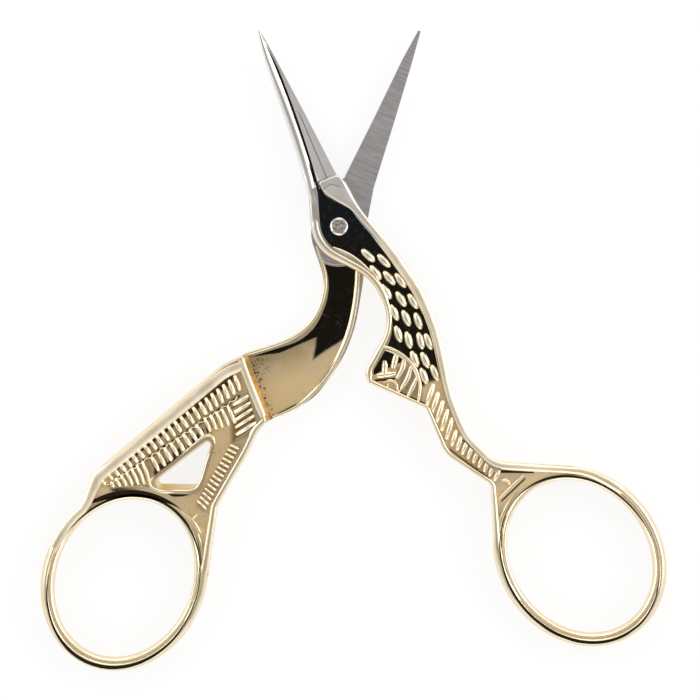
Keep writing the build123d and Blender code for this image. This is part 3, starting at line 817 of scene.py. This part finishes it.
def rim_stations(side, corners):
    """A rim's centre line as stations in the shared frame."""
    return [(place(side, at.x, at.y), half_width * SHANK, CREST) for at, half_width in bead_line(corners)]


def share(millimetres):
    """A length as a share of the shank."""
    return millimetres * MM / SHANK


print("1 mm is", round(share(1), 4), "of the shank")

# %% [markdown]
# ## The four rims of the outline
# Each runs down one side of a half, from the blade or the step to the finger ring.

# %% Outline rims
# A ridge of a finger ring: its offset from the hole's edge, its half width and its crest.
OUTER, INNER = (1.42 * MM, 0.76 * MM, 4.12 * MM), (0.46 * MM, 0.44 * MM, 4.0 * MM)


def run_out(ring, angles, heights, half_mm=0.76):
    """Stations that carry a rim on round the outer side of a finger ring."""
    return [(around(ring, a, OUTER[0]), half_mm * MM, h * MM) for a, h in zip(angles, heights)]


throat_rim = rim_stations(FRONT, [
    (-0.035, 0.112, 0.0, share(1.3)),
    (-0.0805, -0.024, 0.106, share(1.5)),
    (0.0295, -0.1535, 0.136, share(1.2)),
    (0.0295, -0.269, 0.1135, share(0.8)),
    (-0.076, -0.350, 0.045, share(1.3)),
    (-0.080, -0.384, 0.0135, share(0.8)),
    (0.029, -0.495, 0.015, share(0.5)),
    (0.029, -0.617, 0.076, share(0.7)),
    (0.105, -0.7295, 0.018, share(0.7)),
    (0.052, -0.870, 0.0, share(1.35)),
])
throat_rim[0] = (*throat_rim[0][:2], CREST - 0.6 * MM)  # comes up from under the blade's spine
throat_rim += run_out(FRONT_RING, (178, 184, 192, 202, 212), (4.75, 4.5, 4.3, 4.16, 4.1), 0.7)
throat_rim += run_out(FRONT_RING, (224,), (3.7,), 0.4)
bead("front_throat_rim", throat_rim, 0.8, "front", smooth=False)

nape_rim = run_out(FRONT_RING, (50,), (3.7,), 0.45) + run_out(FRONT_RING, (60, 70), (4.08, 4.2))
nape_rim += [(seen(592.8, 474.4), 0.72 * MM, 4.42 * MM), (seen(580.8, 471.2), 0.64 * MM, 4.62 * MM)]
nape_rim += rim_stations(FRONT, [
    (0.2977, -0.7598, 0.0, share(1.1)),
    (0.138, -0.681, 0.068, share(1.35)),
    (0.100, -0.5925, 0.15, share(1.35)),
    (0.100, -0.488, 0.38, share(1.35)),
    (0.1325, -0.329, 0.45, share(1.5)),
    (0.1325, -0.218, 0.39, share(1.7)),
    (0.104, -0.0925, 0.45, share(1.7)),
    (0.076, -0.012, 0.0, share(1.3)),
])
bead("front_nape_rim", nape_rim, 0.6, "front", smooth=False, surface=satin_finish)

wing_edge_rim = rim_stations(BACK, [
    (-0.0975, -0.394, 0.0, share(1.6)),
    (-0.1365, -0.424, 0.15, share(2.1)),
    (-0.330, -0.7925, 0.038, share(2.0)),
    (-0.3265, -0.862, 0.0, share(1.5)),
])
wing_edge_rim += run_out(BACK_RING, (121, 128, 136, 146, 156), (4.7, 4.5, 4.3, 4.16, 4.1))
wing_edge_rim += run_out(BACK_RING, (166,), (3.7,), 0.45)
bead("wing_edge_rim", wing_edge_rim, 0.5, "back", smooth=False, surface=satin_finish)

wing_leg_rim = run_out(BACK_RING, (-44,), (3.7,), 0.4)
wing_leg_rim += run_out(BACK_RING, (-32, -22, -12, -3, 3), (4.1, 4.16, 4.3, 4.5, 4.7), 0.7)
wing_leg_rim += rim_stations(BACK, [
    (0.024, -0.900, 0.0, share(1.4)),
    (-0.0155, -0.7485, 0.050, share(1.1)),
    (0.005, -0.600, 0.150, share(1.2)),
    (0.0078, -0.5425, 0.050, share(1.2)),
    (0.0185, -0.5125, 0.0, share(1.1)),
])
bead("wing_leg_rim", wing_leg_rim, 0.7, "back", smooth=False)

# %% [markdown]
# ## Finger rings
# Each ring was forged with two rounded ridges, a broad one outside and a fine one inside, and the shade
# between them is what draws the ring's dark line. The ridges are full ellipses, and so the ring reads
# as one piece under the foot as well. On the foot, a lip of its own carries the inner ridge higher.

# %% Ring ridges
RING_STEP = 5  # degrees between a ridge's stations
LIP_STEPS, LIP_RAMP = 40, 9  # steps along a lip, and how many of them each end takes to rise


def foot_lip(ring, first, last):
    """Stations of the lip on a foot, which swells and rises from both of its ends."""
    stations = []
    for i in range(LIP_STEPS + 1):
        swell = min(1.0, min(i, LIP_STEPS - i) / LIP_RAMP)
        swell = swell * swell * (3 - 2 * swell)
        half, crest = (0.38 + 0.12 * swell) * MM, (3.92 + 0.70 * swell) * MM
        stations.append((around(ring, first + (last - first) * i / LIP_STEPS, INNER[0]), half, crest))
    return stations


for body, ring, lip_angles in (("front", FRONT_RING, (62, 210)), ("back", BACK_RING, (-32, 156))):
    for part, (offset, half, crest) in (("outer", OUTER), ("inner", INNER)):
        turns = range(0, 360, RING_STEP)
        bead(f"{body}_ring_{part}", [(around(ring, turn, offset), half, crest) for turn in turns],
             (crest - RING_MIDDLE) / half, body, closed=True, smooth=False)
    bead(f"{body}_foot_lip", foot_lip(ring, *lip_angles), 1.6, body, smooth=False)


# %% [markdown]
# ## Neck rims and blade spine
# The same beads, along lines that the CAD has only as flat edges: the two rims of the back neck, the
# rounded spine of the front blade, and the edge where the wing steps up from the neck.

# %% Neck, spine and step
def traced(points, heights):
    """Stations from pixels and half widths in pixels, at one height in mm or each at its own."""
    if not isinstance(heights, list):
        heights = [heights] * len(points)
    return [(seen(px, py), half * PIXEL, high * MM) for (px, py, half), high in zip(points, heights)]


bead("neck_throat_rim", traced([
    (316.5, 246, 1.2), (319.5, 256, 1.8), (323.3, 267, 2.2), (325.3, 280, 2.4), (324.0, 294, 2.3),
    (318.5, 310.5, 2.2), (309, 325.2, 2.2), (295.3, 336.3, 2.2), (275.6, 345.0, 2.1), (258, 350.6, 2.1),
    (244, 354.8, 2.1),
], 2.36), 0.8, "back")
bead("neck_nape_rim", traced([
    (357.5, 262, 1.8), (358, 275, 2.9), (357.3, 290, 3.3), (354.6, 310, 3.4), (349.5, 332, 3.6),
    (341.5, 352, 3.6), (329.8, 373.5, 3.2), (313.5, 393, 2.8), (297.5, 406, 2.3), (282.5, 413.7, 2.0),
    (272.5, 417.8, 1.9),
], 2.36), 0.75, "back")
bead("step_rim", traced([
    (240.8, 359.5, 3.6), (245.6, 374, 3.8), (252.4, 392, 3.9), (259.5, 409, 3.7), (263, 417, 3.0),
], 4.82), 0.5, "back", surface=satin_finish)
bead("blade_spine", traced([
    (258.8, 31, 1.3), (262.8, 45, 2.3), (268.3, 62, 2.8), (275.8, 82, 3.6), (283.5, 102, 4.4),
    (291.5, 124, 4.8), (299.5, 148, 4.9), (306.0, 170, 4.7), (311.0, 190, 4.4), (314.2, 204, 3.8),
    (315.0, 217, 1.5),
], [3.35, 3.5, 3.62, 3.82, 3.98, 4.12, 4.28, 4.45, 4.7, 4.72, 4.3]), 0.6, "front")

# %% [markdown]
# ## Feathers
# Each feather of the wing and the leg is a short rounded bar, and the bars of a row change evenly from
# its first to its last. One bar is modelled from a sphere, drawn out to a bar, and copied along its row,
# longer or shorter as the row's ends say.

# %% Feather bars
BAR_HEIGHT = 0.6 * MM
bpy.ops.object.select_all(action="DESELECT")
bpy.ops.mesh.primitive_uv_sphere_add(segments=10, ring_count=6, radius=1)
bar_pattern = bpy.context.object
bar_pattern.rotation_euler = (0, math.radians(90), 0)
bpy.ops.object.transform_apply(location=False, rotation=True, scale=False)


def feather_bar(px, py, length, turn, half_width):
    """One bar on a panel's floor: its middle, length and half width in pixels, its turn in degrees."""
    mesh = bar_pattern.data.copy()
    half_width = half_width * PIXEL
    stretch = length * PIXEL / 2 - half_width * 0.7
    for vertex in mesh.vertices:
        along, over, up = vertex.co
        ends = stretch * (along > 0.01) - stretch * (along < -0.01)
        vertex.co = (along * half_width + ends, over * half_width, up * BAR_HEIGHT)
    spin = Matrix.Rotation(math.radians(turn), 4, "Z")
    mesh.transform(Matrix.Translation((*seen(px, py), FLOOR)) @ spin)
    made = bpy.data.objects.new("barb", mesh)
    bpy.context.scene.collection.objects.link(made)
    return made


def feathers(name, rows, body):
    """Rows of bars, joined into one piece.

    A row is its first bar and its last, each as x, y, length and turn, then its steps and half width.
    """
    bars = []
    for first, last, steps, half_width in rows:
        for i in range(steps + 1):
            px, py, length, turn = [a + (b - a) * i / steps for a, b in zip(first, last)]
            bars.append(feather_bar(px, py, length, turn, half_width))
    bpy.ops.object.select_all(action="DESELECT")
    for bar in bars:
        bar.select_set(True)
    bpy.context.view_layer.objects.active = bars[0]
    bpy.ops.object.join()
    made = bpy.context.object
    made.name = made.data.name = name
    bpy.ops.object.shade_smooth()
    made.data.materials.append(rim_finish)
    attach(made, body)
    print(name, len(bars), "bars")


feathers("wing_feathers", [
    ((237.5, 383.0, 16, -70), (203.0, 408.5, 14, -62), 6, 2.6),
    ((196.5, 413.0, 13.5, -58), (116.0, 471.5, 10.5, -50), 13, 2.6),
    ((110.5, 476.5, 8, -50), (104.0, 482.5, 6, -50), 1, 2.0),
    ((112.5, 484.5, 7, -60), (146.5, 472.5, 24, -70), 6, 2.2),
    ((155.5, 464.0, 16, -62), (199.5, 430.0, 13, -56), 7, 2.6),
    ((207.5, 424.5, 15, -66), (231.5, 414.5, 19, -67), 4, 2.3),
    ((242.5, 399.5, 22, 32), (246.5, 428.5, 24, 33), 4, 2.3),
    ((234.5, 447.0, 9.5, -25), (202.0, 505.0, 12, -42), 13, 1.6),
], "back")
feathers("leg_feathers", [
    ((430.0, 395.0, 23, 71), (449.5, 428.5, 23, 73), 4, 3.1),
    ((454.0, 438.0, 17, 72), (497.0, 475.0, 13, 62), 8, 2.8),
], "front")
bpy.data.objects.remove(bar_pattern)

# %% [markdown]
# ## Carving on the breast, the feet and round the window
# These lines were cut by hand into the die: an arc under the scales, long feathers fanning from it, a
# small fork at each foot. Each is a fine bead, thinner at its ends, that stands on the panel's floor.

# %% Carved lines
UNDER = FLOOR - 0.03 * MM  # the keels end just inside the metal


def carve(name, body, lines, height):
    """Fine beads that swell in the middle; a line is its points and its half width, all in pixels."""
    for number, (points, half) in enumerate(lines):
        widths = [half * (0.6 if k in (0, len(points) - 1) else 1.0) for k in range(len(points))]
        stations = traced([(px, py, wide) for (px, py), wide in zip(points, widths)], height)
        bead(f"{name}_{number}", stations, 0.9, body, ground=UNDER)


carve("breast_arc", "front", [
    ([(382.5, 346), (390, 348.3), (399, 352.6), (407, 358.8), (413.5, 366.5), (418, 376), (420, 386),
      (419, 396), (417.5, 405)], 1.5),
    ([(385, 350), (393, 352.8), (400, 356.3), (406, 361)], 0.8),
    ([(411, 366), (415, 373), (417, 380)], 0.7),
], 4.8)
carve("breast_feather", "front", [
    ([(384.6, 361), (384.9, 365), (384.6, 371), (384.0, 377.0)], 3.0),
    ([(396.6, 353.8), (395.8, 357.5), (394.4, 363), (393.0, 368.5)], 3.0),
    ([(404.5, 359), (402.8, 368), (397, 378.5)], 2.8),
    ([(411.5, 366), (407.8, 378), (401, 389)], 2.6),
    ([(417.3, 377), (412.5, 388), (407, 398.5)], 2.4),
    ([(384, 382.5), (390.5, 380.3), (396.5, 384.5), (398.5, 391), (401.5, 389)], 1.2),
    ([(388.5, 383), (387, 389)], 1.4),
    ([(376.5, 376), (380, 375.6), (389, 374.4), (396, 373)], 2.9),
], 4.72)
carve("front_fork", "front", [
    ([(499, 499), (511.5, 487), (524, 475.3)], 2.0),
    ([(501.5, 480.5), (505.5, 480), (510, 485)], 1.6),
], 4.8)
carve("back_fork", "back", [
    ([(181.0, 511.6), (186.3, 516.2), (191.8, 520.6), (194.8, 523.8), (197.6, 528.2), (200.2, 532.9)], 1.7),
    ([(192.0, 520.2), (194.7, 517.6), (197.5, 514.5)], 1.3),
], 4.75)
bead("boss_slope", traced([
    (333, 247.5, 0.9), (341, 251, 1.7), (349, 255.2, 2.2), (357, 260.6, 2.3), (364.5, 267, 2.2),
    (371, 274.5, 1.8), (376.5, 282.5, 1.2), (381, 291, 0.8),
], 4.5), 0.6, "front", ground=UNDER)
bead("window_lip", traced([
    (150, 483.5, 1.5), (158, 475.5, 1.2), (178, 459, 1.2), (196, 443.2, 1.4), (205, 436.2, 1.5),
    (211.5, 436.5, 1.5), (213.6, 442, 1.6), (208, 460, 1.7), (200, 484, 1.8), (195, 489.5, 1.8),
    (176, 491.3, 1.8), (156, 489.8, 1.7),
], 4.62), 0.8, "back", closed=True, ground=UNDER)

# %% [markdown]
# ## The wing's quill
# Between the wing's two long rows the carver left a thin wavy line. It zigzags a little from bar to bar,
# so its stations step along the straight quill and swing to either side of it in turn.

# %% Quill line
ZIGS = 34
quill_line = []
for i in range(ZIGS + 1):
    zig = 1.0 if i % 2 else -1.0
    at = seen(238 - 130 * i / ZIGS + zig * 0.6, 397.5 + 88 * i / ZIGS + zig * 0.8)
    quill_line.append((at, 0.12 * MM, 4.6 * MM))
bead("wing_rachis", quill_line, 1.2, "back", smooth=False, ground=UNDER)

# %% [markdown]
# ## The blade's shoulder
# Where the grinding of the bevel stops, the forging keeps its full height: a smooth pad that narrows into
# the nape's rim. A closed curve, filled and bevelled, gives a pad whose edge is rounded all the way round.

# %% Shoulder
ROUND, FLAT = 0.3 * MM, 0.05 * MM  # the edge's rounding, and half of the upright between its two rounds
shoulder_data = bpy.data.curves.new("blade_shoulder", "CURVE")
shoulder_data.dimensions, shoulder_data.fill_mode = "2D", "BOTH"
outline = [
    (320.6, 186.8), (319.4, 182.6), (325, 179.4), (332, 176.6), (337.5, 175.3), (342, 178.6),
    (347, 187.5), (353, 198), (359.5, 208), (366, 216.5), (373, 225.5), (380, 234.0), (386, 242.0),
    (391, 249.5), (388.2, 249.0), (381.5, 241.5), (374.5, 234.5), (368, 228.0), (361.5, 221.5),
    (355.5, 214.5), (350.5, 209.5), (345.5, 206), (338, 202), (331, 197.5), (326.5, 194.6), (322.3, 190.2),
]
shoulder_line = shoulder_data.splines.new("BEZIER")
shoulder_line.bezier_points.add(len(outline) - 1)
for point, (px, py) in zip(shoulder_line.bezier_points, outline):
    point.co = (*seen(px, py), 0)
    point.handle_left_type = point.handle_right_type = "AUTO"
shoulder_line.use_cyclic_u = True
shoulder_data.bevel_depth, shoulder_data.bevel_resolution, shoulder_data.offset = ROUND, 4, -ROUND
shoulder_data.extrude = FLAT
shoulder = as_mesh("blade_shoulder", shoulder_data)
shoulder.data.transform(Matrix.Translation((0, 0, CREST - ROUND - FLAT)))
close_seams(60)
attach(shoulder, "front")
print("shoulder", len(shoulder.data.polygons), "faces")

# %% [markdown]
# ## The shoulder's finish
# The belt ran out on the pad in two thin arcs that meet at a point, and above them the steel is greyer.
# Both are too shallow to model, so they are masks like those of the halves.

# %% Shoulder's finish
ARC_LEFT, ARC_TIP, ARC_RIGHT = (324.5, 188.5), (330.5, 184.2), (341, 187.5)
shoulder_finish, graph = finish("shoulder_steel")
(x, y, _), coordinates = millimetres(graph)
cloud = graph.noise(260, 3, coordinates)
pale = graph.mix((y + (cloud - 0.5) * 2).rise(4.0, -3.0), (0.88, 0.82, 0.73, 1), (0.92, 0.82, 0.62, 1))
left_arc = near(beyond(x, y, ARC_LEFT, ARC_TIP), 0.0, 0.02, 0.07) * x.rise(-1.3, -1.45)
right_arc = near(beyond(x, y, ARC_TIP, ARC_RIGHT), 0.0, 0.02, 0.07) * x.rise(-1.45, -1.3)
arcs = left_arc.most(right_arc * x.rise(0.4, 0.2))
belted = beyond(x, y, (318, 193.0), ARC_TIP).most(beyond(x, y, ARC_TIP, (344, 189.2))).rise(-0.05, 0.1)
pale = graph.mix(belted, pale, (0.74, 0.725, 0.68, 1))
pale = graph.mix(arcs * 0.7, pale, (0.09, 0.08, 0.07, 1))
metal(graph, pale, 0.40 + (cloud - 0.5) * 0.12)
shoulder.data.materials.append(shoulder_finish)
print(shoulder_finish.name, len(graph.tree.nodes), "nodes")

# %% [markdown]
# ## The screw's peened end
# The screw comes through from below and its end is spread with a hammer: a flat centre with the marks of
# the file, inside a bright rounded ring. A cylinder's top is inset again and again, and each new face is
# moved up or down, which gives the ring its round and the centre its dish.

# %% Screw's end
SCREW_RADIUS, SCREW_TOP, SCREW_DEPTH = 1.43 * MM, 4.44 * MM, 0.4 * MM
INSETS = ((0.07, 0.07), (0.08, 0.0), (0.07, -0.12), (0.14, -0.02), (0.6, 0.03))  # inwards and up, in mm
bpy.ops.object.select_all(action="DESELECT")
bpy.ops.mesh.primitive_cylinder_add(vertices=64, radius=SCREW_RADIUS, depth=SCREW_DEPTH,
                                    location=(0, 0, SCREW_TOP - SCREW_DEPTH / 2))
screw_end = bpy.context.object
screw_end.name = screw_end.data.name = "screw_end"
bpy.ops.object.transform_apply(location=True, rotation=True, scale=True)


def select_top(mesh):
    """Selects the highest of the round faces that look up, for the next operator in edit mode."""
    bpy.ops.object.mode_set(mode="OBJECT")
    looks_up = [face.normal.z > 0.9 and len(face.vertices) > 8 for face in mesh.polygons]
    highest = max(face.center.z for face, up in zip(mesh.polygons, looks_up) if up)
    for face, up in zip(mesh.polygons, looks_up):
        face.select = up and face.center.z > highest - 0.01 * MM
    bpy.ops.object.mode_set(mode="EDIT")


bpy.ops.object.mode_set(mode="EDIT")
bpy.ops.mesh.select_mode(type="FACE")
for inwards, upwards in INSETS:
    select_top(screw_end.data)
    bpy.ops.mesh.inset(thickness=inwards * MM)
    bpy.ops.transform.translate(value=(0, 0, upwards * MM))
bpy.ops.mesh.select_all(action="SELECT")
bpy.ops.mesh.normals_make_consistent(inside=False)
bpy.ops.object.mode_set(mode="OBJECT")
bpy.ops.object.shade_smooth_by_angle(angle=math.radians(60))
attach(screw_end, "front")
print("screw's end", len(screw_end.data.polygons), "faces")

# %% [markdown]
# ## The peened end's finish
# The file left its marks all one way, and dirt stays in them. The ring outside them is bright.

# %% Peened end's finish
peened_finish, graph = finish("peened_steel")
(x, y, _), coordinates = millimetres(graph)
disc = away(x, y, *SCREW).rise(1.25, 1.17)
file_inputs = {"Vector": coordinates, "Rotation": (0, 0, 0.9), "Scale": (1200, 5200, 800)}
marks = graph.noise(1, 4, graph.node("ShaderNodeMapping", None, file_inputs), 0.65)
tarnish = graph.noise(2600, 3, coordinates)
inner = graph.mix(marks.rise(0.35, 0.65), (0.30, 0.26, 0.22, 1), (0.62, 0.58, 0.53, 1))
inner = graph.mix(tarnish.rise(0.58, 0.66) * 0.7, inner, (0.10, 0.085, 0.07, 1))
metal(graph, graph.mix(disc, (0.80, 0.76, 0.70, 1), inner), 0.16 + disc * 0.3)
screw_end.data.materials.append(peened_finish)
print(peened_finish.name, len(graph.tree.nodes), "nodes")
